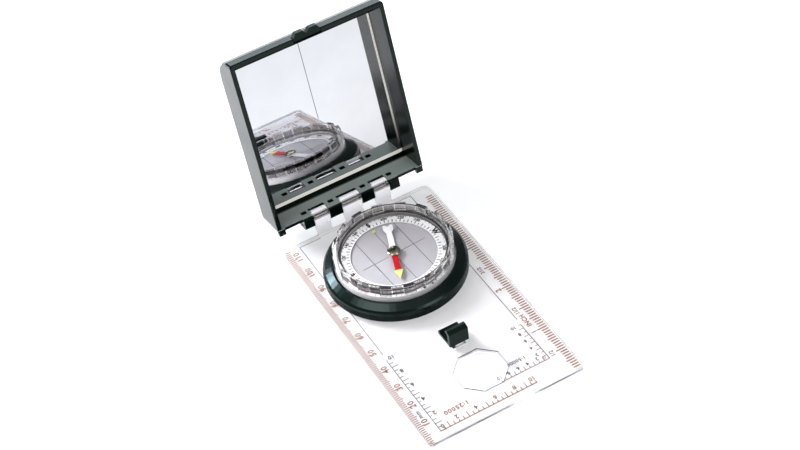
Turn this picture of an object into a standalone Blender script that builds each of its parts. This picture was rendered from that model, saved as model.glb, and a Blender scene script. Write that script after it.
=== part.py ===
"""Folding mirror sighting compass: clear map baseplate, turning liquid capsule
in a dark bezel, octagonal magnifier, sliding lid catch and a deep hinged lid
that holds the sighting mirror.

Metres, +Z up.  The origin is the centre of the baseplate's underside, +Y runs
along the plate towards the lid hinge, and the lid stands open at its sighting
angle."""

import math

import bmesh
import bpy
from mathutils import Matrix, Vector

MM = 0.001
GAP = 0.3  # clearance between neighbouring pieces, mm

# ---- baseplate --------------------------------------------------------
PLATE_W, PLATE_L, PLATE_T = 65.0, 116.0, 3.0
PLATE_CORNER_FAR, PLATE_CORNER_NEAR = 3.0, 1.6
PLATE_EDGE = 0.35

# ---- magnifier --------------------------------------------------------
MAG_Y, MAG_R = -38.5, 10.2  # octagon centre and corner radius

# ---- lid hinge --------------------------------------------------------
AXIS_Y, AXIS_Z = 60.96, 9.41
OPEN_DEG = 102.4  # lid angle from closed at rest
KNUCKLE_R = 3.0
KNUCKLE_MID = 4.0  # half width of the middle knuckle
KNUCKLE_OUT = (10.3, 16.5)  # inner and outer |x| of the outer knuckles
PIN_R, BORE_R = 0.9, 1.2
LUG_IN, LUG_OUT = (4.4, 9.9), (16.9, 21.1)  # |x| of the lid's hinge lugs

# ---- lid, in its own section plane: b runs up the lid, c out of the rim
AXIS_B, AXIS_C = 0.45, -2.65  # hinge axis in the b, c section
LID_HALF_W = 32.3
LID_WALL = 1.8
LID_FLOOR = 3.1  # b of the hinge wall's inner face
LID_SECTION = ((1.7, 0.0), (77.1, 0.0), (76.7, -5.1), (75.4, -8.9), (72.7, -12.6), (69.7, -15.0), (65.5, -15.9), (2.9, -15.9), (1.7, -14.7))
LID_CAVITY = ((3.1, 1.0), (75.5, 1.0), (75.2, -5.1), (73.9, -8.5), (71.4, -11.9), (69.4, -13.9), (67.0, -15.05), (3.1, -15.05))
NOTCH_C = -5.9
MIRROR_B = (4.4, 67.8)
MIRROR_HALF_W = 30.1
MIRROR_C = (-14.35, -13.7)
PAD_C = (-14.8, -14.6)

# ---- rear sight -------------------------------------------------------
SIGHT_BASE_B, SIGHT_TOP_B, SIGHT_NOTCH_B = 76.0, 79.1, 77.7
SIGHT_DEPTH = 2.2

# ---- capsule ----------------------------------------------------------
CAP_X, CAP_Y = -0.4, 23.9
BEZEL_R, BEZEL_LIP_R = 28.0, 23.6
CROWN_R, CROWN_IN_R, CROWN_TOP = 23.3, 21.5, 16.15
RECESS_R, RECESS_Z = 22.1, 11.7  # finger recesses round the crown
TEETH, TOOTH_PHASE_DEG = 16, -2.2
BOWL_R = 21.2
LENS_Z = (13.5, 14.6)
DIAL_TURN_DEG = 3.2  # dial set off the plate's line
DIAL_R = (16.7, 20.2)
NEEDLE_DEG = -109.0  # direction of the north end
NEEDLE_L = 14.8
NEEDLE_Z = 11.8

# ---- lid catch --------------------------------------------------------
CATCH_HALF_W = 4.0
CATCH_TRAVEL = 3.8
STEPS = 64


def clear_scene():
    for obj in list(bpy.data.objects):
        bpy.data.objects.remove(obj, do_unlink=True)


clear_scene()
scene = bpy.context.scene
parts = bpy.data.collections.new("sighting_compass")
cutters = bpy.data.collections.new("cutters")
scene.collection.children.link(parts)
scene.collection.children.link(cutters)


def material(name, colour, roughness, metallic=0.0, alpha=1.0, transmission=0.0):
    mat = bpy.data.materials.new(name)
    mat.use_nodes = True
    mat.diffuse_color = (*colour, alpha)
    shader = mat.node_tree.nodes["Principled BSDF"]
    shader.inputs["Base Color"].default_value = (*colour, 1.0)
    shader.inputs["Roughness"].default_value = roughness
    shader.inputs["Metallic"].default_value = metallic
    shader.inputs["Transmission Weight"].default_value = transmission
    shader.inputs["Alpha"].default_value = alpha
    return mat


CLEAR = material("clear_acrylic", (0.93, 0.94, 0.95), 0.06, transmission=0.9)
LENS = material("lens_acrylic", (0.95, 0.96, 0.97), 0.03, transmission=0.95)
DARK = material("dark_green_plastic", (0.012, 0.030, 0.026), 0.28)
BLACK = material("black_plastic", (0.008, 0.012, 0.011), 0.35)
WHITE = material("white_plastic", (0.86, 0.86, 0.86), 0.45)
GREY = material("grey_film", (0.62, 0.61, 0.63), 0.4)
STEEL = material("steel", (0.60, 0.60, 0.58), 0.25, 1.0)
BRASS = material("brass", (0.62, 0.55, 0.38), 0.25, 1.0)
MIRROR = material("mirror_glass", (0.92, 0.93, 0.95), 0.02, 1.0)
FOAM = material("adhesive_foam", (0.12, 0.12, 0.12), 0.9)
RUBBER = material("seal_rubber", (0.05, 0.05, 0.055), 0.7)
LUME = material("luminous_paint", (0.72, 0.78, 0.30), 0.6)
RED = material("needle_enamel", (0.55, 0.03, 0.03), 0.35)
JEWEL = material("jewel", (0.55, 0.10, 0.16), 0.1)


def finish(obj, name, mat, collection=parts):
    obj.name = name
    obj.data.name = name
    for old in list(obj.users_collection):
        old.objects.unlink(obj)
    collection.objects.link(obj)
    obj.data.materials.clear()
    if mat:
        obj.data.materials.append(mat)
    if collection is cutters:
        obj.hide_render = True
        obj.display_type = "WIRE"
    return obj


def mesh_object(name, bm, mat=None, collection=parts):
    bmesh.ops.recalc_face_normals(bm, faces=bm.faces)
    mesh = bpy.data.meshes.new(name)
    bm.to_mesh(mesh)
    bm.free()
    obj = bpy.data.objects.new(name, mesh)
    scene.collection.objects.link(obj)
    return finish(obj, name, mat, collection)


def add_box(bm, lo, hi):
    """A box between two corners given in mm."""
    made = bmesh.ops.create_cube(bm, size=1.0)["verts"]
    size = [(b - a) * MM for a, b in zip(lo, hi)]
    middle = [(a + b) / 2 * MM for a, b in zip(lo, hi)]
    bmesh.ops.scale(bm, vec=size, verts=made)
    bmesh.ops.translate(bm, vec=middle, verts=made)
    return made


def box(name, lo, hi, mat=None, collection=parts):
    bm = bmesh.new()
    add_box(bm, lo, hi)
    return mesh_object(name, bm, mat, collection)


def rod(name, radius, x0, x1, y, z, mat=None, collection=parts, segments=24):
    """A cylinder along X."""
    bm = bmesh.new()
    bmesh.ops.create_cone(bm, cap_ends=True, segments=segments, radius1=radius * MM, radius2=radius * MM, depth=(x1 - x0) * MM)
    bmesh.ops.rotate(bm, cent=(0, 0, 0), matrix=Matrix.Rotation(math.pi / 2, 3, "Y"), verts=bm.verts)
    bmesh.ops.translate(bm, vec=((x0 + x1) / 2 * MM, y * MM, z * MM), verts=bm.verts)
    return mesh_object(name, bm, mat, collection)


def to_mesh(obj):
    """The evaluated curve or modified mesh as a plain welded mesh object."""
    bpy.context.view_layer.update()
    graph = bpy.context.evaluated_depsgraph_get()
    mesh = bpy.data.meshes.new_from_object(obj.evaluated_get(graph))
    bm = bmesh.new()
    bm.from_mesh(mesh)
    bmesh.ops.remove_doubles(bm, verts=bm.verts, dist=1e-6)
    bmesh.ops.recalc_face_normals(bm, faces=bm.faces)
    bm.to_mesh(mesh)
    bm.free()
    made = bpy.data.objects.new(obj.name + "_mesh", mesh)
    scene.collection.objects.link(made)
    made.matrix_world = obj.matrix_world.copy()
    bpy.data.objects.remove(obj, do_unlink=True)
    return made


def plate_of(name, outline, thickness, matrix, mat=None, collection=parts, holes=()):
    """A flat outline in mm, thick half to each side of its plane, laid out by a matrix."""
    curve = bpy.data.curves.new(name, "CURVE")
    curve.dimensions = "2D"
    curve.fill_mode = "BOTH"
    curve.extrude = thickness / 2 * MM
    for points in (outline, *holes):
        spline = curve.splines.new("POLY")
        spline.points.add(len(points) - 1)
        for slot, (u, v) in zip(spline.points, points):
            slot.co = (u * MM, v * MM, 0, 1)
        spline.use_cyclic_u = True
    obj = bpy.data.objects.new(name, curve)
    scene.collection.objects.link(obj)
    obj.matrix_world = matrix
    return finish(to_mesh(obj), name, mat, collection)


def along_x(x):
    """Lays an outline given as (y, z) across the X axis at x mm."""
    return Matrix.Translation((x * MM, 0, 0)) @ Matrix(((0, 0, 1, 0), (1, 0, 0, 0), (0, 1, 0, 0), (0, 0, 0, 1)))


def turned(name, profile, mat=None, collection=parts, steps=STEPS, closed=True, at=(CAP_X, CAP_Y), smooth=True):
    """A turned shape: radius, height points in mm, clockwise, so the outer side runs down."""
    bm = bmesh.new()
    made = [bm.verts.new((r * MM, 0, z * MM)) for r, z in profile]
    for a, b in zip(made, made[1:]):
        bm.edges.new((a, b))
    if closed:
        bm.edges.new((made[-1], made[0]))
    mesh = bpy.data.meshes.new(name)
    bm.to_mesh(mesh)
    bm.free()
    obj = bpy.data.objects.new(name, mesh)
    scene.collection.objects.link(obj)
    finish(obj, name, mat, collection)
    screw = obj.modifiers.new("turn", "SCREW")
    screw.axis = "Z"
    screw.angle = math.tau
    screw.steps = steps
    screw.render_steps = steps
    screw.use_merge_vertices = True
    screw.merge_threshold = 0.00001
    screw.use_smooth_shade = smooth
    obj.location = (at[0] * MM, at[1] * MM, 0)
    return obj


def boolean(obj, other, operation="DIFFERENCE", solver="EXACT"):
    modifier = obj.modifiers.new(other.name, "BOOLEAN")
    modifier.operation = operation
    modifier.solver = solver
    modifier.object = other
    return modifier


def bevel(obj, width, segments=2, angle=40):
    modifier = obj.modifiers.new("edges", "BEVEL")
    modifier.width = width * MM
    modifier.segments = segments
    modifier.limit_method = "ANGLE"
    modifier.angle_limit = math.radians(angle)
    modifier.use_clamp_overlap = True
    return modifier


def settled(obj, name=None):
    """The object with its modifiers made into its mesh."""
    wanted, mat = name or obj.name, (obj.data.materials[0] if obj.data.materials else None)
    collection = parts if obj.name in parts.objects else cutters
    return finish(to_mesh(obj), wanted, mat, collection)


def arc(cx, cy, radius, start, end, count):
    """Points on an arc, angles in degrees."""
    for k in range(count + 1):
        angle = math.radians(start + (end - start) * k / count)
        yield cx + radius * math.cos(angle), cy + radius * math.sin(angle)


def rounded(half_w, y0, y1, r0, r1):
    """A rounded rectangle, symmetric about x = 0."""
    points = []
    points += arc(half_w - r0, y0 + r0, r0, -90, 0, 5)
    points += arc(half_w - r1, y1 - r1, r1, 0, 90, 6)
    points += arc(-half_w + r1, y1 - r1, r1, 90, 180, 6)
    points += arc(-half_w + r0, y0 + r0, r0, 180, 270, 5)
    return points


def polygon(count, radius, cy, phase):
    return [(radius * math.cos(math.radians(phase + k * 360 / count)), cy + radius * math.sin(math.radians(phase + k * 360 / count))) for k in range(count)]


# ---------------------------------------------------------------- baseplate
HALF_L = PLATE_L / 2
plate = plate_of("plate_blank", rounded(PLATE_W / 2, -HALF_L, HALF_L, PLATE_CORNER_NEAR, PLATE_CORNER_FAR), PLATE_T, Matrix.Translation((0, 0, PLATE_T / 2 * MM)), CLEAR)
bevel(plate, PLATE_EDGE, 1, 60)
plate = settled(plate, "baseplate")


def knuckle_outline():
    """A hinge knuckle's side view as (y, z): an arm that rises off the far edge into a barrel."""
    front = AXIS_Y - KNUCKLE_R
    points = [(front - 1.4, 0.9), (front, 3.4)]
    points += arc(AXIS_Y, AXIS_Z, KNUCKLE_R, 180, -60, 16)
    points += [(HALF_L + 0.9, 2.6), (HALF_L + 0.5, 0.9)]
    return points


for tag, x0, x1 in (("left", -KNUCKLE_OUT[1], -KNUCKLE_OUT[0]), ("middle", -KNUCKLE_MID, KNUCKLE_MID), ("right", KNUCKLE_OUT[0], KNUCKLE_OUT[1])):
    knuckle = plate_of("knuckle_" + tag, knuckle_outline(), x1 - x0, along_x((x0 + x1) / 2), CLEAR, cutters)
    boolean(plate, knuckle, "UNION")

hole = plate_of("magnifier_hole", polygon(8, MAG_R, MAG_Y, 22.5), 8.0, Matrix.Identity(4), None, cutters)
boolean(plate, hole)
boolean(plate, rod("hinge_bore", BORE_R, -30, 30, AXIS_Y, AXIS_Z, None, cutters))
boolean(plate, box("catch_slot", (-1.7, -23.1, -1.0), (1.7, -16.2, 4.0), None, cutters))
boolean(plate, box("catch_recess", (-2.9, -23.3, -1.0), (2.9, -16.0, 1.7), None, cutters))
plate = settled(plate)
plate.data.set_sharp_from_angle(angle=math.radians(35))

# ---------------------------------------------------------------- magnifier
DOME_TOP, DOME_RISE = 2.9, 0.75
dome = [(0, DOME_TOP)] + [(r, DOME_TOP - DOME_RISE * (r / MAG_R) ** 2) for r in (2.2, 4.4, 6.4, 8.2, 9.6, MAG_R + 0.5)] + [(MAG_R + 0.5, 0.35), (0, 0.35)]
magnifier = turned("magnifier_lens", dome, LENS, closed=False, at=(0, MAG_Y), steps=48)
prism = plate_of("magnifier_outline", polygon(8, MAG_R - GAP / math.cos(math.pi / 8), MAG_Y, 22.5), 9.0, Matrix.Identity(4), None, cutters)
magnifier = settled(magnifier)
boolean(magnifier, prism, "INTERSECT")

# ---------------------------------------------------------------- lid catch
catch_outline = [(-23.4, 3.3), (-23.5, 9.8), (-21.8, 10.45), (-20.4, 10.1), (-20.3, 9.3), (-21.8, 9.1), (-21.9, 4.9), (-21.4, 4.5), (-16.3, 4.5), (-15.9, 5.0), (-14.9, 5.0), (-14.6, 4.7), (-14.6, 3.3)]
catch = plate_of("lid_catch", catch_outline, 2 * CATCH_HALF_W, along_x(0), BLACK)
boolean(catch, box("catch_neck", (-1.4, -22.8, 1.0), (1.4, -20.6, 4.0), None, cutters), "UNION")
boolean(catch, box("catch_foot", (-2.6, -23.0, 0.4), (2.6, -20.4, 1.4), None, cutters), "UNION")
catch = settled(catch)

# ---------------------------------------------------------------- capsule mount
bezel = turned(
    "bezel_ring",
    [(BEZEL_LIP_R, 9.4), (24.4, 9.3), (27.0, 7.75), (27.75, 7.0), (BEZEL_R, 6.2), (BEZEL_R, 3.3), (24.9, 3.3), (24.9, 8.8), (BEZEL_LIP_R, 8.8)],
    DARK,
)
friction = turned("friction_ring", [(22.2, 4.3), (24.5, 4.3), (24.5, 3.3), (22.2, 3.3)], WHITE, steps=48)

# ---------------------------------------------------------------- capsule
crown = turned(
    "capsule_crown",
    [
        (21.6, CROWN_TOP), (23.15, CROWN_TOP), (CROWN_R, CROWN_TOP - 0.15), (CROWN_R, 8.5), (24.6, 8.5), (24.6, 4.6),
        (20.2, 4.6), (20.2, 7.3), (CROWN_IN_R, 7.3), (CROWN_IN_R, CROWN_TOP - 0.1),
    ],
    CLEAR,
)
crown = settled(crown)
grips = bmesh.new()
for k in range(TEETH):
    turn = Matrix.Rotation(math.radians(TOOTH_PHASE_DEG + k * 360 / TEETH), 4, "Z")
    made = add_box(grips, (RECESS_R, -2.2, RECESS_Z), (25.0, 2.2, 17.5))
    bmesh.ops.transform(grips, matrix=Matrix.Translation((CAP_X * MM, CAP_Y * MM, 0)) @ turn, verts=made)
boolean(crown, mesh_object("crown_grip_recesses", grips, None, cutters))
crown = settled(crown)
crown.data.set_sharp_from_angle(angle=math.radians(30))

bowl = turned("capsule_bowl", [(0, 9.9), (20.6, 9.9), (20.6, 12.7), (BOWL_R, 12.7), (BOWL_R, 8.6), (0, 8.6)], CLEAR, closed=False)


seal = turned("seal_ring", [(20.2, 13.2), (21.1, 13.2), (21.1, 13.0), (20.2, 13.0)], RUBBER, steps=48)
lens = turned("capsule_lens", [(0, LENS_Z[1]), (20.9, LENS_Z[1]), (BOWL_R, 14.3), (BOWL_R, LENS_Z[0]), (0, LENS_Z[0])], LENS, closed=False)
orienting = turned("orienting_plate", [(0, 10.5), (20.3, 10.5), (20.3, 10.2), (0, 10.2)], GREY, closed=False)
dial = turned("dial_ring", [(DIAL_R[0], 11.1), (DIAL_R[1], 11.1), (DIAL_R[1], 10.8), (DIAL_R[0], 10.8)], WHITE)

turn_dial = math.radians(DIAL_TURN_DEG)
bm = bmesh.new()
bmesh.ops.create_cone(bm, cap_ends=True, segments=24, radius1=0.8 * MM, radius2=0.7 * MM, depth=0.3 * MM)
bmesh.ops.translate(bm, vec=((CAP_X - 14.7 * math.sin(turn_dial)) * MM, (CAP_Y + 14.7 * math.cos(turn_dial)) * MM, 10.95 * MM), verts=bm.verts)
dot = mesh_object("luminous_dot", bm, LUME)

# ---------------------------------------------------------------- needle
pin = turned("pivot_pin", [(0, 12.05), (0.35, 11.5), (0.35, 11.1), (1.0, 11.1), (1.0, 10.8), (0, 10.8)], STEEL, closed=False, steps=24)


def needle_outline():
    """North arrow towards +X, forked south arm towards -X."""
    north = [(1.4, -1.15), (9.6, -1.15), (10.0, -1.95), (NEEDLE_L, 0.0), (10.0, 1.95), (9.6, 1.15), (1.4, 1.15)]
    south = [(-1.4, 1.1), (-10.6, 1.1), (-12.0, 1.9), (-14.4, 2.0), (NEEDLE_L * -0.99, 1.2), (-13.6, 0.0), (NEEDLE_L * -0.99, -1.2), (-14.4, -2.0), (-12.0, -1.9), (-10.6, -1.1), (-1.4, -1.1)]
    shoulder_n = list(arc(0, 0, 2.3, 32, 148, 8))
    shoulder_s = list(arc(0, 0, 2.3, 212, 328, 8))
    return north + shoulder_n + south + shoulder_s


needle = plate_of(
    "needle_blade", needle_outline(), 0.3,
    Matrix.Translation((CAP_X * MM, CAP_Y * MM, (NEEDLE_Z + 0.15) * MM)) @ Matrix.Rotation(math.radians(NEEDLE_DEG), 4, "Z"),
    RED, holes=[list(arc(0, 0, 1.3, 360, 18, 19))],
)
hub = turned("needle_hub", [(0, 13.22), (0.9, 13.2), (1.6, 13.1), (2.2, 12.9), (2.6, 12.6), (2.6, 12.4), (1.0, 12.4), (1.0, 11.4), (0.7, 11.4), (0.7, 12.95), (0, 12.95)], BRASS, closed=False, steps=32)
jewel = turned("jewel_bearing", [(0, 12.65), (0.4, 12.65), (0.4, 12.35), (0, 12.35)], JEWEL, closed=False, steps=16)

# ---------------------------------------------------------------- lid
LID_TURN = math.radians(180 - OPEN_DEG)
LID = Matrix.Translation((0, AXIS_Y * MM, AXIS_Z * MM)) @ Matrix.Rotation(LID_TURN, 4, "X")
pivot = bpy.data.objects.new("lid_pivot", None)
parts.objects.link(pivot)
pivot.matrix_world = LID


def lid_section(points):
    """Section points b, c taken from the hinge axis."""
    return [(b - AXIS_B, c - AXIS_C) for b, c in points]


def lid_box(name, x0, x1, b0, b1, c0, c1, mat=None, collection=cutters, grow=None):
    bm = bmesh.new()
    for sign in ((1, -1) if grow == "both" else (1,)):
        lo, hi = sorted((sign * x0, sign * x1))
        add_box(bm, (lo, b0 - AXIS_B, c0 - AXIS_C), (hi, b1 - AXIS_B, c1 - AXIS_C))
    obj = mesh_object(name, bm, mat, collection)
    obj.matrix_world = LID
    return obj


shell = plate_of("lid_blank", lid_section(LID_SECTION)[::-1], 2 * LID_HALF_W, along_x(0), DARK)
bevel(shell, 1.1, 2, 32)
shell = settled(shell, "lid_shell")
shell.matrix_world = LID @ shell.matrix_world
cavity = plate_of("lid_cavity", lid_section(LID_CAVITY)[::-1], 2 * (LID_HALF_W - LID_WALL), along_x(0), None, cutters)
cavity.matrix_world = LID @ cavity.matrix_world
boolean(shell, cavity, solver="MANIFOLD")
boolean(shell, lid_box("rim_recess", -29.2, 29.2, 1.0, 3.2, -0.9, 2.0), solver="MANIFOLD")
boolean(shell, lid_box("knuckle_notch_middle", -LUG_IN[0], LUG_IN[0], 0.5, 4.5, NOTCH_C, 2.0), solver="MANIFOLD")
boolean(shell, lid_box("knuckle_notches_outer", LUG_IN[1], LUG_OUT[0], 0.5, 4.5, NOTCH_C, 2.0, grow="both"), solver="MANIFOLD")
boolean(shell, lid_box("sight_recess", -5.9, 5.9, 74.1, 80.2, -SIGHT_DEPTH - GAP, 2.0), solver="MANIFOLD")
boolean(shell, lid_box("mirror_ledge", -31.0, 31.0, 2.5, 4.1, -15.3, -13.4), "UNION", solver="MANIFOLD")
boolean(shell, lid_box("rim_feet", 29.2, 32.0, 0.4, 2.4, -1.8, -0.05, grow="both"), "UNION", solver="MANIFOLD")


def lug_outline():
    """A hinge lug's side view, from the axis: a square block with eased corners."""
    lo_b, hi_b, lo_c, hi_c, ease = -2.2 - AXIS_B, LID_FLOOR - AXIS_B, NOTCH_C - 0.2 - AXIS_C, -AXIS_C - 0.02, 0.7
    return [(lo_b + ease, lo_c), (hi_b - 0.02, lo_c), (hi_b - 0.02, hi_c - ease), (hi_b - ease, hi_c), (lo_b + ease, hi_c), (lo_b, hi_c - ease), (lo_b, lo_c + ease)]


for tag, x0, x1 in (("a", -LUG_OUT[1], -LUG_OUT[0]), ("b", -LUG_IN[1], -LUG_IN[0]), ("c", LUG_IN[0], LUG_IN[1]), ("d", LUG_OUT[0], LUG_OUT[1])):
    lug = plate_of("lug_" + tag, lug_outline(), x1 - x0, along_x((x0 + x1) / 2), None, cutters)
    lug.matrix_world = LID @ lug.matrix_world
    boolean(shell, lug, "UNION", solver="MANIFOLD")

bore = rod("lid_bore", BORE_R, -30, 30, 0, 0, None, cutters)
bore.matrix_world = LID
boolean(shell, bore, solver="MANIFOLD")
wells = bmesh.new()
for x in (-(LUG_OUT[0] + LUG_OUT[1]) / 2, -(LUG_IN[0] + LUG_IN[1]) / 2, (LUG_IN[0] + LUG_IN[1]) / 2, (LUG_OUT[0] + LUG_OUT[1]) / 2):
    add_box(wells, (x - 1.15, 1.9 - AXIS_B, -5.6 - AXIS_C), (x + 1.15, 4.0 - AXIS_B, -3.3 - AXIS_C))
wells = mesh_object("lug_wells", wells, None, cutters)
wells.matrix_world = LID
boolean(shell, wells, solver="MANIFOLD")
shell = settled(shell)
shell.data.set_sharp_from_angle(angle=math.radians(35))

sight_outline = [(-5.6, SIGHT_BASE_B), (5.6, SIGHT_BASE_B), (5.6, 77.3), (4.4, SIGHT_TOP_B), (1.4, SIGHT_TOP_B), (0.15, SIGHT_NOTCH_B), (-0.15, SIGHT_NOTCH_B), (-1.4, SIGHT_TOP_B), (-4.4, SIGHT_TOP_B), (-5.6, 77.3)]
sight = plate_of("rear_sight", [(x, b - AXIS_B) for x, b in sight_outline], SIGHT_DEPTH, LID @ Matrix.Translation((0, 0, (-SIGHT_DEPTH / 2 - AXIS_C) * MM)), BLACK)

mirror = lid_box("mirror_glass", -MIRROR_HALF_W, MIRROR_HALF_W, *MIRROR_B, *MIRROR_C, MIRROR, parts)
bevel(mirror, 0.2, 1)
pad = lid_box("mirror_pad", -28.0, 28.0, 8.5, 65.5, *PAD_C, FOAM, parts)
hinge_pin = rod("hinge_pin", PIN_R, -20.9, 20.9, 0, 0, STEEL, parts, 20)
hinge_pin.matrix_world = LID

for piece in (shell, sight, mirror, pad, hinge_pin):
    world = piece.matrix_world.copy()
    piece.parent = pivot
    piece.matrix_parent_inverse = pivot.matrix_world.inverted()
    piece.matrix_world = world
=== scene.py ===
"""Looks of the folding mirror sighting compass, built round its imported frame."""

import math

import bmesh
import bpy
from mathutils import Matrix, Vector


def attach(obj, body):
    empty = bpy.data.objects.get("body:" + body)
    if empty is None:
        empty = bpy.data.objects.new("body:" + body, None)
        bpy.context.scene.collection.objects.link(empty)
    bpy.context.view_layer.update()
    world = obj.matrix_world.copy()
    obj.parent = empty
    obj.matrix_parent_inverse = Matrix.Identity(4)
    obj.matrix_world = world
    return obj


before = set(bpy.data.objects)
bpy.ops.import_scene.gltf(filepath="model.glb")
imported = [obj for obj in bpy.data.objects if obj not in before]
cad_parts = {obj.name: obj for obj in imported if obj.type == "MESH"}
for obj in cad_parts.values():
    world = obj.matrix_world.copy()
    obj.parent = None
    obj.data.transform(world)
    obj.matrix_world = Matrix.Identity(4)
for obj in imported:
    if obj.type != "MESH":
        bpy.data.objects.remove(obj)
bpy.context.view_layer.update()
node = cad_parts
scene = bpy.context.scene
MM = 0.001

# ------------------------------------------------------------------ camera
CAM_ROWS = (
    (0.8674473346, 0.4097577013, -0.2821945213),
    (-0.4859664518, 0.5762444346, -0.6570988961),
    (-0.1066383108, 0.7071357563, 0.6989901951),
)
CAM_AT = (-0.208809, -0.471128, 0.550533)
cam = bpy.data.objects.new("camera", bpy.data.cameras.new("camera"))
cam.data.lens, cam.data.sensor_width = 90.227, 36.0
cam.data.clip_start, cam.data.clip_end = 0.01, 20.0
scene.collection.objects.link(cam)
cam.matrix_world = Matrix.Translation(CAM_AT) @ Matrix(CAM_ROWS).to_4x4()
scene.camera = cam
scene.view_settings.view_transform = "Standard"
scene.view_settings.look = "None"

# ------------------------------------------------------------------ sizes, mm
CAP = (-0.4, 23.9)  # capsule axis
TURN = math.radians(3.2)  # dial, anticlockwise from the plate's line
NEEDLE = math.radians(-109.0)
AXIS_Y, AXIS_Z, OPEN = 60.96, 9.41, math.radians(180 - 102.4)
LID = Matrix.Translation((0, AXIS_Y * MM, AXIS_Z * MM)) @ Matrix.Rotation(OPEN, 4, "X")


# ------------------------------------------------------------------ node helpers
class Nodes:
    """A material's node tree, with short ways to build on it."""

    def __init__(self, name):
        self.mat = bpy.data.materials.new(name)
        self.mat.use_nodes = True
        self.nt = self.mat.node_tree
        self.nt.nodes.clear()
        self.out = self.add("ShaderNodeOutputMaterial")
        self.where = self.add("ShaderNodeTexCoord").outputs["Object"]

    def add(self, kind, **settings):
        n = self.nt.nodes.new(kind)
        for key, value in settings.items():
            setattr(n, key, value)
        return n

    def put(self, socket, value):
        if hasattr(value, "is_output"):
            self.nt.links.new(value, socket)
        else:
            socket.default_value = value

    def scaled(self, factors, turn=(0, 0, 0), shift=(0, 0, 0)):
        m = self.add("ShaderNodeMapping")
        self.put(m.inputs["Vector"], self.where)
        m.inputs["Scale"].default_value = factors
        m.inputs["Rotation"].default_value = turn
        m.inputs["Location"].default_value = shift
        return m.outputs["Vector"]

    def along_lid(self, direction, offset):
        """Distance in metres along a direction of the lid's section, from the hinge axis, plus an offset in mm."""
        d = self.add("ShaderNodeVectorMath", operation="DOT_PRODUCT")
        self.put(d.inputs[0], self.where)
        d.inputs[1].default_value = direction
        return self.maths("ADD", d.outputs["Value"], offset * MM - (direction[1] * AXIS_Y + direction[2] * AXIS_Z) * MM)

    def noise(self, per_m, detail=3.0, rough=0.55, stretch=(1, 1, 1), distortion=0.0):
        n = self.add("ShaderNodeTexNoise")
        self.put(n.inputs["Vector"], self.scaled(stretch))
        n.inputs["Scale"].default_value = per_m
        n.inputs["Detail"].default_value = detail
        n.inputs["Roughness"].default_value = rough
        n.inputs["Distortion"].default_value = distortion
        return n.outputs["Fac"]

    def spread(self, value, lo, hi, out_lo=0.0, out_hi=1.0, smooth=False):
        n = self.add("ShaderNodeMapRange", interpolation_type="SMOOTHSTEP" if smooth else "LINEAR")
        self.put(n.inputs["Value"], value)
        for key, number in zip(("From Min", "From Max", "To Min", "To Max"), (lo, hi, out_lo, out_hi)):
            n.inputs[key].default_value = number
        return n.outputs["Result"]

    def mix(self, fac, a, b):
        n = self.add("ShaderNodeMix", data_type="RGBA")
        self.put(n.inputs[0], fac)
        self.put(n.inputs[6], a if hasattr(a, "is_output") else (*a, 1))
        self.put(n.inputs[7], b if hasattr(b, "is_output") else (*b, 1))
        return n.outputs[2]

    def maths(self, operation, a, b=None):
        n = self.add("ShaderNodeMath", operation=operation)
        self.put(n.inputs[0], a)
        if b is not None:
            self.put(n.inputs[1], b)
        return n.outputs[0]

    def bump(self, height, strength, distance=0.0001, under=None):
        n = self.add("ShaderNodeBump")
        n.inputs["Strength"].default_value = strength
        n.inputs["Distance"].default_value = distance
        self.put(n.inputs["Height"], height)
        if under is not None:
            self.put(n.inputs["Normal"], under)
        return n.outputs["Normal"]

    def principled(self, colour, rough, **plain):
        b = self.add("ShaderNodeBsdfPrincipled")
        self.put(b.inputs["Base Color"], colour if hasattr(colour, "is_output") else (*colour, 1))
        self.put(b.inputs["Roughness"], rough)
        for key, value in plain.items():
            self.put(b.inputs[key.replace("_", " ")], value)
        return b

    def show(self, shader):
        self.nt.links.new(shader, self.out.inputs["Surface"])
        return self.mat


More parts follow.
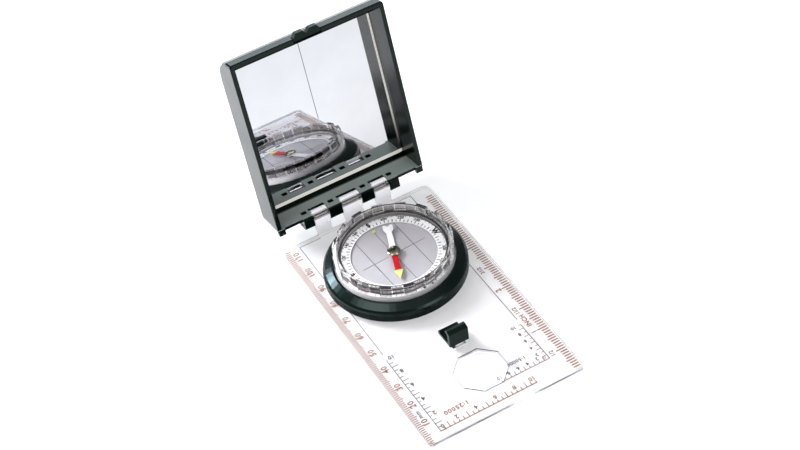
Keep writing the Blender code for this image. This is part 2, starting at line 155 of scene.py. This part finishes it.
def plastic(name, dark, light, rough_lo, rough_hi, grain=0.06, specular=0.5, sheen_tint=(1, 1, 1), painted_lit_wall=None, painted_shade_sides=False):
    """Moulded plastic: faint flow colour, fine orange peel and uneven gloss."""
    n = Nodes(name)
    cloud = n.noise(90, 4)
    fine = n.noise(2600, 3)
    scuffs = n.noise(420, 6, 0.7, (1, 6, 1))
    colour = n.mix(n.spread(cloud, 0.35, 0.7), dark, light)
    rough = n.maths("ADD", n.spread(cloud, 0.3, 0.7, rough_lo, rough_hi), n.spread(scuffs, 0.55, 0.8, 0.0, 0.08))
    if painted_lit_wall:  # painted highlight: the hinge wall's inner face is painted paler where it would catch the light, and made less glossy
        up, out = n.along_lid((0, math.cos(OPEN), math.sin(OPEN)), 0.45), n.along_lid((0, -math.sin(OPEN), math.cos(OPEN)), -2.65)
        near = n.spread(n.maths("ABSOLUTE", n.maths("SUBTRACT", up, 0.0031)), 0.0001, 0.0002, 1.0, 0.0)
        deep = n.spread(out, -0.0118, -0.0104, 0.0, 1.0, True)
        painted_light_mask = n.maths("MULTIPLY", near, deep)
        colour = n.mix(painted_light_mask, colour, n.mix(n.spread(n.noise(60, 3), 0.35, 0.7), painted_lit_wall, [1.12 * v for v in painted_lit_wall]))
        rough = n.maths("MAXIMUM", rough, n.maths("MULTIPLY", painted_light_mask, 0.42))
    b = n.principled(colour, rough)
    b.inputs["Specular IOR Level"].default_value = specular
    b.inputs["Specular Tint"].default_value = (*sheen_tint, 1)
    b.inputs["IOR"].default_value = 1.5
    relief = n.bump(n.noise(260, 2), 0.05, 0.0002, n.bump(fine, grain, 0.00002))
    n.put(b.inputs["Normal"], relief)
    if not painted_shade_sides:
        return n.show(b.outputs[0])
    # painted shade: upright faces use a less reflective copy of the same green, so they look darker
    d = n.principled(colour, rough)
    d.inputs["Specular IOR Level"].default_value = 0.20
    d.inputs["Specular Tint"].default_value = (*sheen_tint, 1)
    d.inputs["IOR"].default_value = 1.28
    n.put(d.inputs["Normal"], relief)
    facing = n.add("ShaderNodeSeparateXYZ")
    n.put(facing.inputs[0], n.add("ShaderNodeNewGeometry").outputs["True Normal"])
    m = n.add("ShaderNodeMixShader")
    n.put(m.inputs[0], n.spread(n.maths("ABSOLUTE", facing.outputs["Z"]), 0.15, 0.40, 1.0, 0.0))
    n.nt.links.new(b.outputs[0], m.inputs[1])
    n.nt.links.new(d.outputs[0], m.inputs[2])
    return n.show(m.outputs[0])


def clear(name, tint, shade, rough=0.02, wear=0.05, ior=1.18, painted_edge_shade=None):
    """Clear acrylic that lets lamp light through, with faint handling haze."""
    n = Nodes(name)
    haze = n.spread(n.noise(130, 5, 0.6), 0.48, 0.75, rough, rough + wear)
    if painted_edge_shade:  # painted shade: upright edge faces are tinted greyer than the faces, in patches
        facing = n.add("ShaderNodeSeparateXYZ")
        n.put(facing.inputs[0], n.add("ShaderNodeNewGeometry").outputs["True Normal"])
        upright = n.spread(n.maths("ABSOLUTE", facing.outputs["Z"]), 0.15, 0.75, 1.0, 0.0)
        patch = n.spread(n.noise(28, 2), 0.40, 0.60, 0.35, 1.0)
        tint = n.mix(n.maths("MULTIPLY", upright, patch), tint, painted_edge_shade)
    b = n.principled(tint, haze)
    b.inputs["IOR"].default_value = ior
    b.inputs["Transmission Weight"].default_value = 1.0
    n.put(b.inputs["Normal"], n.bump(n.noise(180, 2), 0.03, 0.0002))
    through = n.add("ShaderNodeBsdfTransparent")
    through.inputs["Color"].default_value = (*shade, 1)
    path = n.add("ShaderNodeLightPath")
    m = n.add("ShaderNodeMixShader")
    n.nt.links.new(path.outputs["Is Shadow Ray"], m.inputs[0])
    n.nt.links.new(b.outputs[0], m.inputs[1])
    n.nt.links.new(through.outputs[0], m.inputs[2])
    return n.show(m.outputs[0])


def crown_acrylic(name):
    """Clear crown with painted shade: grey windows of random tone on the upright faces of its recess flats and ribs,
    between clear joints, and upright faces tinted slightly darker.
    """
    n = Nodes(name)
    axis = n.add("ShaderNodeVectorMath", operation="SUBTRACT")
    n.put(axis.inputs[0], n.where)
    axis.inputs[1].default_value = (CAP[0] * MM, CAP[1] * MM, 0)
    part = n.add("ShaderNodeSeparateXYZ")
    n.put(part.inputs[0], axis.outputs[0])
    turn = n.maths("ARCTAN2", part.outputs["Y"], part.outputs["X"])
    step = n.maths("ADD", n.maths("MULTIPLY", turn, 16 / math.pi), (2.2 + 5.625) / 11.25 + 32)
    within = n.maths("ABSOLUTE", n.maths("SUBTRACT", n.maths("FRACT", step), 0.5))
    window = n.spread(within, 0.43, 0.475, 1.0, 0.0)
    pick = n.add("ShaderNodeTexWhiteNoise", noise_dimensions="1D")
    n.put(pick.inputs["W"], n.maths("FLOOR", step))
    facing = n.add("ShaderNodeSeparateXYZ")
    n.put(facing.inputs[0], n.add("ShaderNodeNewGeometry").outputs["True Normal"])
    upright = n.spread(n.maths("ABSOLUTE", facing.outputs["Z"]), 0.25, 0.6, 1.0, 0.0)
    height = n.add("ShaderNodeSeparateXYZ")
    n.put(height.inputs[0], n.where)
    tall = n.maths("MULTIPLY", n.spread(height.outputs["Z"], 0.0116, 0.0119), n.spread(height.outputs["Z"], 0.0154, 0.0157, 1.0, 0.0))
    painted_light_mask = n.maths("MULTIPLY", n.maths("MULTIPLY", window, upright), tall)
    # painted shade: each window's grey tone, picked at random per window
    shade = n.mix(pick.outputs["Value"], (0.25, 0.235, 0.23), (0.58, 0.55, 0.54))
    shade = n.mix(n.spread(n.noise(500, 4), 0.35, 0.7, 0.0, 0.5), shade, (0.47, 0.44, 0.43))
    tint = n.mix(painted_light_mask, n.mix(upright, (0.95, 0.945, 0.95), (0.90, 0.885, 0.88)), shade)
    b = n.principled(tint, n.spread(n.noise(130, 5, 0.6), 0.48, 0.75, 0.01, 0.04), Coat_Weight=0.7, Coat_Roughness=0.04)
    b.inputs["IOR"].default_value = 1.13
    b.inputs["Transmission Weight"].default_value = 1.0
    through = n.add("ShaderNodeBsdfTransparent")
    through.inputs["Color"].default_value = (0.93, 0.92, 0.92, 1)
    path = n.add("ShaderNodeLightPath")
    m = n.add("ShaderNodeMixShader")
    n.nt.links.new(path.outputs["Is Shadow Ray"], m.inputs[0])
    n.nt.links.new(b.outputs[0], m.inputs[1])
    n.nt.links.new(through.outputs[0], m.inputs[2])
    return n.show(m.outputs[0])


def metal(name, a, b_colour, rough, grain, stretch=(1, 1, 1)):
    n = Nodes(name)
    streaks = n.noise(900, 4, 0.6, stretch)
    colour = n.mix(n.spread(streaks, 0.3, 0.7), a, b_colour)
    b = n.principled(colour, n.spread(streaks, 0.3, 0.7, rough, rough + 0.12), Metallic=1.0)
    n.put(b.inputs["Normal"], n.bump(streaks, grain, 0.00003))
    return n.show(b.outputs[0])


def ink(name, a, b_colour, rough=0.55):
    n = Nodes(name)
    patch = n.noise(700, 3)
    b = n.principled(n.mix(n.spread(patch, 0.35, 0.7), a, b_colour), n.spread(patch, 0.3, 0.7, rough, rough + 0.15))
    return n.show(b.outputs[0])


# ------------------------------------------------------------------ materials
# the plate and the magnifier take painted shade on their upright edge faces, from the last colour given
CLEAR = clear("clear_acrylic", (0.780, 0.778, 0.789), (0.95, 0.95, 0.955), painted_edge_shade=(0.56, 0.53, 0.55))
CROWN = crown_acrylic("clear_crown_acrylic")
BOWL = clear("clear_bowl_acrylic", (0.93, 0.915, 0.91), (0.94, 0.93, 0.93), 0.01, 0.03, 1.14)
CLEAR_LENS = clear("clear_lens_acrylic", (0.99, 0.99, 0.992), (0.985, 0.985, 0.985), 0.0, 0.015, 1.12)
MAGNIFIER = clear("clear_magnifier_acrylic", (0.985, 0.985, 0.99), (0.96, 0.96, 0.965), 0.0, 0.02, 1.36, (0.45, 0.45, 0.46))
# the last colour is the painted highlight on the hinge wall's inner face
GREEN = plastic("dark_green_moulding", (0.0010, 0.0048, 0.0034), (0.0018, 0.0078, 0.0056), 0.16, 0.24, 0.04, 0.27, (0.86, 1.0, 0.95), (0.37, 0.43, 0.41))
# the ring's upright faces take painted shade from a less reflective copy of its green
RING = plastic("dark_green_ring", (0.0010, 0.0060, 0.0045), (0.0018, 0.0095, 0.0072), 0.20, 0.27, 0.03, 0.50, (0.80, 1.0, 0.97), painted_shade_sides=True)
BLACK = plastic("black_moulding", (0.0020, 0.0080, 0.0052), (0.0034, 0.0120, 0.0080), 0.28, 0.40, 0.10, 0.20, (0.80, 1.0, 0.92))
WHITE = plastic("white_disc_plastic", (0.94, 0.94, 0.945), (0.965, 0.965, 0.97), 0.35, 0.45, 0.03)
SEAL = plastic("black_seal_rubber", (0.02, 0.02, 0.022), (0.04, 0.04, 0.042), 0.6, 0.75, 0.2)
FOAM = plastic("grey_foam_tape", (0.07, 0.07, 0.07), (0.12, 0.12, 0.12), 0.85, 0.95, 0.5)
STEEL = metal("ground_steel", (0.55, 0.54, 0.50), (0.70, 0.69, 0.64), 0.16, 0.2, (8, 1, 1))
BRASS = metal("turned_brass", (0.55, 0.50, 0.38), (0.78, 0.74, 0.60), 0.10, 0.1)
INK = ink("scale_ink", (0.24, 0.082, 0.014), (0.32, 0.122, 0.026))
GREY_INK = ink("grey_line_ink", (0.050, 0.034, 0.028), (0.080, 0.060, 0.052))
BLACK_INK = ink("dial_ink", (0.010, 0.010, 0.012), (0.022, 0.022, 0.024))
PALE_INK = ink("dial_fine_ink", (0.030, 0.030, 0.036), (0.060, 0.060, 0.070))
LINE_INK = ink("floor_line_ink", (0.045, 0.048, 0.050), (0.075, 0.078, 0.082))

# Luminous paint, a little grainy
n = Nodes("luminous_paint")
grit = n.noise(1800, 3)
b = n.principled(n.mix(n.spread(grit, 0.3, 0.7), (0.56, 0.62, 0.22), (0.66, 0.70, 0.32)), n.spread(grit, 0.3, 0.7, 0.5, 0.7))
b.inputs["Emission Color"].default_value = (0.72, 0.85, 0.28, 1)
b.inputs["Emission Strength"].default_value = 0.05
n.put(b.inputs["Normal"], n.bump(grit, 0.3, 0.00003))
LUME = n.show(b.outputs[0])

# Capsule floor: grey film with a soft mottle
n = Nodes("capsule_floor_film")
cloud = n.noise(55, 4, 0.55)
b = n.principled(n.mix(n.spread(cloud, 0.3, 0.72), (0.40, 0.393, 0.412), (0.47, 0.461, 0.483)), n.spread(cloud, 0.3, 0.7, 0.3, 0.45))
n.put(b.inputs["Normal"], n.bump(n.noise(1500, 2), 0.05, 0.00002))
FLOOR_FILM = n.show(b.outputs[0])

# Jewel
n = Nodes("bearing_jewel")
cloud = n.noise(2000, 2)
b = n.principled(n.mix(cloud, (0.35, 0.03, 0.07), (0.5, 0.06, 0.12)), 0.05)
JEWEL = n.show(b.outputs[0])

# Mirror: silvered, with a breath of haze
n = Nodes("silvered_mirror")
haze = n.noise(60, 5, 0.6)
b = n.principled(n.mix(n.spread(haze, 0.4, 0.7), (0.68, 0.69, 0.72), (0.71, 0.72, 0.75)), n.spread(haze, 0.5, 0.8, 0.004, 0.02), Metallic=1.0)
MIRROR = n.show(b.outputs[0])

# Needle enamel: red north arm, luminous arrow head, white south arm, split by distance along it
n = Nodes("needle_enamel")
centre = n.add("ShaderNodeVectorMath", operation="SUBTRACT")
n.put(centre.inputs[0], n.where)
centre.inputs[1].default_value = (CAP[0] * MM, CAP[1] * MM, 0)
along = n.add("ShaderNodeVectorMath", operation="DOT_PRODUCT")
n.put(along.inputs[0], centre.outputs[0])
along.inputs[1].default_value = (math.cos(NEEDLE), math.sin(NEEDLE), 0)
ramp = n.add("ShaderNodeValToRGB")
ramp.color_ramp.interpolation = "CONSTANT"
n.put(ramp.inputs[0], n.spread(along.outputs["Value"], -0.016, 0.016))
stops = ramp.color_ramp.elements
stops[0].position, stops[0].color = 0.0, (0.95, 0.95, 0.99, 1)
stops[1].position, stops[1].color = 0.5, (0.46, 0.010, 0.013, 1)
tip = stops.new(0.5 + 9.9 / 32)
tip.color = (0.60, 0.63, 0.25, 1)
speck = n.noise(1500, 3)
toned = n.add("ShaderNodeMix", data_type="RGBA", blend_type="MULTIPLY")
n.put(toned.inputs[0], n.spread(speck, 0.3, 0.75, 0.0, 0.22))
n.put(toned.inputs[6], ramp.outputs["Color"])
toned.inputs[7].default_value = (0.78, 0.76, 0.76, 1)
b = n.principled(toned.outputs[2], n.spread(speck, 0.3, 0.7, 0.25, 0.4))
n.put(b.inputs["Normal"], n.bump(speck, 0.08, 0.00003))
NEEDLE_PAINT = n.show(b.outputs[0])

for name in ("bezel_ring", "capsule_crown", "capsule_bowl", "capsule_lens", "seal_ring", "orienting_plate", "dial_ring", "needle_hub", "pivot_pin", "hinge_pin", "lid_shell", "luminous_dot", "jewel_bearing", "baseplate", "friction_ring"):
    node[name].data.shade_smooth()
    node[name].data.set_sharp_from_angle(angle=math.radians(32))

for names, mat in (
    (("baseplate",), CLEAR),
    (("capsule_crown",), CROWN),
    (("capsule_bowl",), BOWL),
    (("capsule_lens",), CLEAR_LENS),
    (("magnifier_lens",), MAGNIFIER),
    (("lid_shell",), GREEN),
    (("bezel_ring",), RING),
    (("lid_catch", "rear_sight"), BLACK),
    (("friction_ring", "dial_ring"), WHITE),
    (("seal_ring",), SEAL),
    (("mirror_pad",), FOAM),
    (("pivot_pin", "hinge_pin"), STEEL),
    (("needle_hub",), BRASS),
    (("luminous_dot",), LUME),
    (("orienting_plate",), FLOOR_FILM),
    (("jewel_bearing",), JEWEL),
    (("mirror_glass",), MIRROR),
    (("needle_blade",), NEEDLE_PAINT),
):
    for name in names:
        node[name].data.materials.clear()
        node[name].data.materials.append(mat)


# ------------------------------------------------------------------ printing
def bar(bm, x, y, length, width, z0, z1, turn=0.0, matrix=None):
    """A printed bar centred at x, y, its length along the turned X axis."""
    made = bmesh.ops.create_cube(bm, size=1.0)["verts"]
    bmesh.ops.scale(bm, vec=(length * MM, width * MM, (z1 - z0) * MM), verts=made)
    bmesh.ops.rotate(bm, cent=(0, 0, 0), matrix=Matrix.Rotation(turn, 3, "Z"), verts=made)
    bmesh.ops.translate(bm, vec=(x * MM, y * MM, (z0 + z1) / 2 * MM), verts=made)
    if matrix is not None:
        bmesh.ops.transform(bm, matrix=matrix, verts=made)


def line(bm, x0, y0, x1, y1, width, z0, z1):
    bar(bm, (x0 + x1) / 2, (y0 + y1) / 2, math.hypot(x1 - x0, y1 - y0) + width, width, z0, z1, math.atan2(y1 - y0, x1 - x0))


def words(bm, text, x, y, size, turn, z0, z1, spacing=1.0, weight=0.0):
    """Raised lettering centred at x, y, its reading direction turned from +X."""
    curve = bpy.data.curves.new("lettering", "FONT")
    curve.body, curve.size = text, size * MM
    curve.align_x, curve.align_y = "CENTER", "CENTER"
    curve.space_character = spacing
    curve.extrude = (z1 - z0) / 2 * MM
    curve.offset = weight * MM
    curve.resolution_u = 3
    obj = bpy.data.objects.new("lettering", curve)
    scene.collection.objects.link(obj)
    bpy.context.view_layer.update()
    mesh = bpy.data.meshes.new_from_object(obj.evaluated_get(bpy.context.evaluated_depsgraph_get()))
    mesh.transform(Matrix.Translation((x * MM, y * MM, (z0 + z1) / 2 * MM)) @ Matrix.Rotation(turn, 4, "Z"))
    bm.from_mesh(mesh)
    bpy.data.objects.remove(obj, do_unlink=True)
    bpy.data.curves.remove(curve)
    bpy.data.meshes.remove(mesh)


def piece(name, bm, mat, body):
    mesh = bpy.data.meshes.new(name)
    bmesh.ops.remove_doubles(bm, verts=bm.verts, dist=1e-7)
    bm.to_mesh(mesh)
    bm.free()
    mesh.materials.clear()
    mesh.materials.append(mat)
    obj = bpy.data.objects.new(name, mesh)
    scene.collection.objects.link(obj)
    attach(obj, body)
    return obj


def plate(x, y):
    """A point measured from the plate's near left corner, in the row frame."""
    return x - 32.9, y - 58.0


PZ = (0.83, 0.86)  # the print lies inside the clear plate
UP_LEFT = math.pi / 2  # lettering that reads along +Y, tops towards -X
OVER = math.pi  # lettering turned over, tops towards -Y

scales, fine = bmesh.new(), bmesh.new()
for k in range(0, 116):  # millimetre scale
    end = 3.75 if k % 10 == 0 else 3.35 if k % 5 == 0 else 2.75
    x, y = plate((0.75 + end) / 2, k)
    if y > -57.6:
        bar(scales, x, y, end - 0.75, 0.40, *PZ)
for k in range(1, 12):
    x, y = plate(4.55, 10.0 * k + 0.6)
    words(scales, str(10 * k), x, y, 3.3, UP_LEFT, *PZ, spacing=1.12, weight=0.07)
x, y = plate(4.3, 14.9)
words(fine, "mm", x, y, 2.3, UP_LEFT, *PZ, spacing=1.15, weight=0.06)
for k in range(2, 88):  # inch scale, in twentieths
    end = 60.6 if k % 10 == 0 else 61.1 if k % 5 == 0 else 61.8
    x, y = plate((64.7 + end) / 2, k * 1.27)
    bar(scales, x, y, 64.7 - end, 0.50, *PZ)
for k in range(1, 9):
    x, y = plate(59.3, 12.7 * k)
    if k % 2:
        words(scales, (str(k // 2) if k > 1 else "") + "1/2", x - 0.2, y, 2.4 if k == 1 else 2.2, UP_LEFT, *PZ, spacing=1.0, weight=0.06)
    else:
        words(scales, str(k // 2), x, y, 3.0, UP_LEFT, *PZ, weight=0.08)
x, y = plate(59.6, 32.0)
words(scales, "INCH", x, y, 2.6, UP_LEFT, *PZ, spacing=1.1, weight=0.07)

# map corner scale, 1:25000, forty millimetres each way
ox, oy = plate(7.06, 4.14)
line(scales, ox, oy, ox + 40, oy, 0.42, *PZ)
line(fine, ox, oy, ox, oy + 40, 0.28, *PZ)
for k in range(1, 21):
    long = k % 2 == 0
    reach = 2.7 if long else 1.6
    if k % 4:
        bar(scales, ox + 2 * k, oy + reach / 2, reach, 0.36, *PZ, math.pi / 2)
        bar(fine, ox + reach / 2, oy + 2 * k, reach, 0.30, *PZ)
    else:
        bar(scales, ox + 2 * k, oy + 0.5, 1.0, 0.36, *PZ, math.pi / 2)
        bar(fine, ox + 0.5, oy + 2 * k, 1.0, 0.22, *PZ)
for k in (2, 4, 6, 8, 10):
    words(scales, str(k), ox + 4 * k - (0.6 if k == 10 else 0), oy + 2.6, 2.6, OVER, *PZ, weight=0.09)
    words(fine if k > 2 else scales, str(k), ox + 2.3, oy + 4 * k + 0.8, 2.5, OVER, *PZ, weight=0.09)
words(scales, "0", ox + 1.7, oy + 1.8, 2.6, OVER, *PZ, weight=0.07)
x, y = plate(17.1, 10.5)
words(scales, "1:25000", x, y, 2.6, OVER, *PZ, spacing=1.22, weight=0.09)

# map corner scale, 1:50000, twenty millimetres each way
ox, oy = plate(56.97, 11.3)
line(scales, ox, oy, ox - 20, oy, 0.34, *PZ)
line(fine, ox, oy, ox, oy + 20, 0.30, *PZ)
for k in range(1, 11):
    reach = 1.0 if k % 2 == 0 else 1.9
    bar(scales, ox - 2 * k, oy + reach / 2, reach, 0.30, *PZ, math.pi / 2)
    bar(scales, ox - reach / 2, oy + 2 * k, reach, 0.30, *PZ)
for k in (2, 4, 6, 8, 10):
    words(fine, str(k), ox - 2 * k, oy + 2.3, 2.1, OVER, *PZ, weight=0.07)
    words(fine, str(k), ox - (3.2 if k == 10 else 2.9), oy + 2 * k, 2.1, OVER, *PZ, weight=0.07)
words(scales, "0", ox - 1.3, oy + 1.4, 2.0, OVER, *PZ)
x, y = plate(46.2, 17.0)
words(fine, "1:50000", x, y, 2.2, OVER, *PZ, spacing=1.12, weight=0.07)

# long inner lines
for x0, y0, x1, y1 in ((7.35, 47.6, 7.35, 115.0), (57.2, 34.1, 57.2, 115.0), (7.35, 115.0, 16.5, 115.0), (48.5, 115.0, 57.2, 115.0)):
    a, b0 = plate(x0, y0)
    c, d = plate(x1, y1)
    line(fine, a, b0, c, d, 0.26, *PZ)
piece("plate_scale_print", scales, INK, "base")
piece("plate_line_print", fine, GREY_INK, "base")


# ------------------------------------------------------------------ dial
def polar(radius, angle):
    return CAP[0] + radius * math.cos(angle), CAP[1] + radius * math.sin(angle)


bold, thin = bmesh.new(), bmesh.new()
DZ = (11.12, 11.15)
NORTH = -math.pi / 2 + TURN  # the dial's north faces the map end
for k in range(72):
    angle = NORTH - math.radians(5 * k)
    length = 1.4 if k % 2 == 0 else 1.0
    x, y = polar(17.05 + length / 2, angle)
    bar(thin, x, y, length, 0.34 if k % 2 == 0 else 0.26, *DZ, angle)
    x, y = polar(19.95, angle)
    bar(thin, x, y, 0.4, 0.26, *DZ, angle)
for k in range(18):
    if k % 9 in (0,) or k * 20 in (80, 100, 260, 280) or k * 20 in (180,):
        continue
    angle = NORTH - math.radians(20 * k)
    x, y = polar(19.15, angle)
    words(thin, str(20 * k), x, y, 1.75, angle - math.pi / 2, *DZ, weight=0.07)
for name, degrees in (("N", 0), ("E", 90), ("S", 180), ("W", 270)):
    angle = NORTH - math.radians(degrees)
    x, y = polar(18.7, angle)
    words(bold, name, x, y, 2.9, angle - math.pi / 2, *DZ, weight=0.16)
piece("dial_letters", bold, BLACK_INK, "capsule")
piece("dial_graduations", thin, PALE_INK, "capsule")

lines = bmesh.new()
FZ = (10.53, 10.56)
DISC = Matrix.Translation((CAP[0] * MM, CAP[1] * MM, 0)) @ Matrix.Rotation(TURN, 4, "Z")
for x0, half in ((-8.8, 14.6), (8.8, 14.6)):
    bar(lines, x0, 0, 2 * half, 0.22, *FZ, math.pi / 2, DISC)
for y0, y1 in ((2.6, 13.6), (-16.2, -2.6)):
    bar(lines, 0, (y0 + y1) / 2, y1 - y0, 0.2, *FZ, math.pi / 2, DISC)
for x0, x1 in ((-14.0, -2.6), (2.6, 14.0)):
    bar(lines, (x0 + x1) / 2, 0, x1 - x0, 0.17, *FZ, 0, DISC)
piece("orienting_lines", lines, LINE_INK, "capsule")

def annulus(bm, r0, r1, z0, z1, steps=96):
    """A flat closed ring on the capsule axis."""
    rows = []
    for k in range(steps):
        a = 2 * math.pi * k / steps
        c, d = math.cos(a), math.sin(a)
        rows.append([bm.verts.new(((CAP[0] + r * c) * MM, (CAP[1] + r * d) * MM, z * MM)) for r, z in ((r0, z0), (r1, z0), (r1, z1), (r0, z1))])
    for k in range(steps):
        here, there = rows[k], rows[(k + 1) % steps]
        for m in range(4):
            bm.faces.new((here[m], there[m], there[(m + 1) % 4], here[(m + 1) % 4]))
    bmesh.ops.recalc_face_normals(bm, faces=bm.faces)


band = bmesh.new()  # white band round the crown's foot
annulus(band, 21.75, 23.05, 11.2, 11.4)
annulus(band, 22.88, 23.08, 8.8, 11.1)
piece("crown_band", band, WHITE, "capsule")
marks = bmesh.new()
for k in range(72):
    angle = NORTH - math.radians(5 * k)
    x, y = polar(22.45, angle)
    bar(marks, x, y, 0.55 if k % 2 else 0.9, 0.16, 11.42, 11.45, angle)
piece("crown_marks", marks, PALE_INK, "capsule")
index = bmesh.new()  # index mark by the dial's north
for side in (-1, 1):
    angle = NORTH + math.radians(4.6) * side + math.radians(3.0)
    x, y = polar(22.4, angle)
    bar(index, x, y, 1.1, 0.9, 11.42, 11.46, angle)
piece("index_marks", index, BLACK_INK, "capsule")

# sighting line down the middle of the mirror
sight = bmesh.new()
made = bmesh.ops.create_cube(sight, size=1.0)["verts"]
bmesh.ops.scale(sight, vec=(0.22 * MM, 34.0 * MM, 0.012 * MM), verts=made)
bmesh.ops.translate(sight, vec=(0, (50.6 - 0.45) * MM, (-13.685 + 2.65) * MM), verts=made)
bmesh.ops.transform(sight, matrix=LID, verts=made)
piece("sighting_line", sight, GREY_INK, "lid")


def lid_bar(bm, a0, a1, b0, b1, c0, c1):
    """A bar in the lid's own section coordinates."""
    made = bmesh.ops.create_cube(bm, size=1.0)["verts"]
    bmesh.ops.scale(bm, vec=((a1 - a0) * MM, (b1 - b0) * MM, (c1 - c0) * MM), verts=made)
    bmesh.ops.translate(bm, vec=((a0 + a1) / 2 * MM, ((b0 + b1) / 2 - 0.45) * MM, ((c0 + c1) / 2 + 2.65) * MM), verts=made)
    bmesh.ops.transform(bm, matrix=LID, verts=made)


# ground edges of the mirror glass with a painted glint: pale and glowing on the upper part of the side edge and along
# the bottom edge, dark between
n = Nodes("ground_glass_edge_glint")
grit = n.noise(1600, 3)
glint_fade = n.spread(n.along_lid((0, math.cos(OPEN), math.sin(OPEN)), 0.45), 0.008, 0.030, 0.0, 1.0)
glint_fade = n.maths("MAXIMUM", glint_fade, n.spread(n.along_lid((0, math.cos(OPEN), math.sin(OPEN)), 0.45), 0.0056, 0.0060, 1.0, 0.0))
b = n.principled(n.mix(glint_fade, (0.06, 0.06, 0.055), n.mix(n.spread(grit, 0.3, 0.7), (0.90, 0.88, 0.82), (0.95, 0.94, 0.90))), n.spread(grit, 0.3, 0.7, 0.25, 0.4))
n.put(b.inputs["Emission Color"], n.mix(glint_fade, (0, 0, 0), (1.0, 0.97, 0.90)))
b.inputs["Emission Strength"].default_value = 0.38
GLASS_EDGE_GLINT = n.show(b.outputs[0])
edges = bmesh.new()
lid_bar(edges, 29.80, 30.42, 4.5, 67.6, -13.72, -13.45)
lid_bar(edges, -30.0, 29.9, 4.25, 5.6, -13.72, -13.6)
piece("mirror_edge_glints", edges, GLASS_EDGE_GLINT, "lid")

# painted shade seen through the clear plate: dark lines along the magnifier's seam, heavier on four sides, and a grey
# bar inside the plate's near edge
n = Nodes("seam_shadow")
patch = n.noise(60, 2)
solid = n.principled(n.mix(n.spread(patch, 0.3, 0.7), (0.46, 0.45, 0.465), (0.60, 0.585, 0.60)), n.spread(patch, 0.3, 0.7, 0.5, 0.7))
open_air = n.add("ShaderNodeBsdfTransparent")
m = n.add("ShaderNodeMixShader")
n.put(m.inputs[0], n.spread(n.noise(34, 2), 0.42, 0.56, 0.15, 0.95))
n.nt.links.new(solid.outputs[0], m.inputs[1])
n.nt.links.new(open_air.outputs[0], m.inputs[2])
EDGE_SHADE_PAINT = n.show(m.outputs[0])
seams = bmesh.new()
# the seam's lines carry painted shade, heavier on sides 0, 1, 4 and 5
corner = [(10.42 * math.cos(math.radians(22.5 + 45 * k)), -38.5 + 10.42 * math.sin(math.radians(22.5 + 45 * k))) for k in range(8)]
for k in range(8):
    (x0, y0), (x1, y1) = corner[k], corner[(k + 1) % 8]
    line(seams, x0, y0, x1, y1, 0.34 if k in (0, 1, 4, 5) else 0.14, 2.86, 2.93)
piece("magnifier_seam_shade", seams, GREY_INK, "base")
# painted shade: a patchy grey bar inside the plate along its near edge, standing in for the shade the edge shows
painted_edge_bar = bmesh.new()
bar(painted_edge_bar, 0.0, -57.75, 62.4, 0.2, 0.8, 1.8)
piece("plate_edge_painted_shade", painted_edge_bar, EDGE_SHADE_PAINT, "base")

# ------------------------------------------------------------------ stage and light
bm = bmesh.new()
bmesh.ops.create_grid(bm, x_segments=1, y_segments=1, size=3.0)
mesh = bpy.data.meshes.new("floor")
bm.to_mesh(mesh)
bm.free()
floor = bpy.data.objects.new("floor", mesh)
floor.location.z = -0.0004
scene.collection.objects.link(floor)
n = Nodes("pale_floor")
paper = n.noise(40, 3)
b = n.principled(n.mix(paper, (0.70, 0.70, 0.705), (0.72, 0.72, 0.72)), 0.9)
b.inputs["Specular IOR Level"].default_value = 0.0
b.inputs["Emission Color"].default_value = (1, 1, 1, 1)
b.inputs["Emission Strength"].default_value = 0.52
floor.data.materials.append(n.show(b.outputs[0]))

world = bpy.data.worlds.new("studio")
world.use_nodes = True
nt = world.node_tree
white_room = nt.nodes["Background"]
white_room.inputs["Color"].default_value = (1.0, 1.0, 1.0, 1)
white_room.inputs["Strength"].default_value = 0.30
dark_room = nt.nodes.new("ShaderNodeBackground")  # black flags round the set, seen in gloss only
dark_room.inputs["Color"].default_value = (0.92, 0.97, 1.0, 1)
dark_room.inputs["Strength"].default_value = 0.12
path, either = nt.nodes.new("ShaderNodeLightPath"), nt.nodes.new("ShaderNodeMixShader")
nt.links.new(path.outputs["Is Glossy Ray"], either.inputs[0])
nt.links.new(white_room.outputs[0], either.inputs[1])
nt.links.new(dark_room.outputs[0], either.inputs[2])
nt.links.new(either.outputs[0], nt.nodes["World Output"].inputs["Surface"])
scene.world = world


def softbox(name, at, to, size, power, colour=(1, 1, 1)):
    light = bpy.data.lights.new(name, "AREA")
    light.shape, light.size, light.size_y = "RECTANGLE", size[0], size[1]
    light.energy, light.color = power, colour
    obj = bpy.data.objects.new(name, light)
    obj.location = at
    obj.rotation_mode = "QUATERNION"
    obj.rotation_quaternion = (Vector(to) - Vector(at)).to_track_quat("-Z", "Y")
    scene.collection.objects.link(obj)
    return obj


softbox("overhead", (-0.05, 0.05, 1.25), (0, 0.02, 0), (1.3, 1.3), 1.3)
softbox("key", (-0.52, 0.02, 1.05), (0, 0.02, 0), (0.66, 0.43), 2.3)
softbox("front", (0.36, -0.80, 0.88), (0, 0, 0.03), (0.56, 0.48), 2.0)
softbox("back", (0.34, 1.15, 0.46), (0, 0.08, 0.06), (0.8, 0.55), 5.1, (0.84, 0.92, 1.0))
softbox("window", (-0.50, 0.83, 0.49), (-0.03, 0.03, 0.01), (0.18, 0.18), 3.8, (0.75, 0.87, 1.0))
sweep = softbox("sweep", (-0.30, 0.34, 0.36), (-0.22, 0.30, 0.0), (0.25, 0.25), 3.4, (0.97, 0.95, 1.0))
sweep.visible_glossy = False
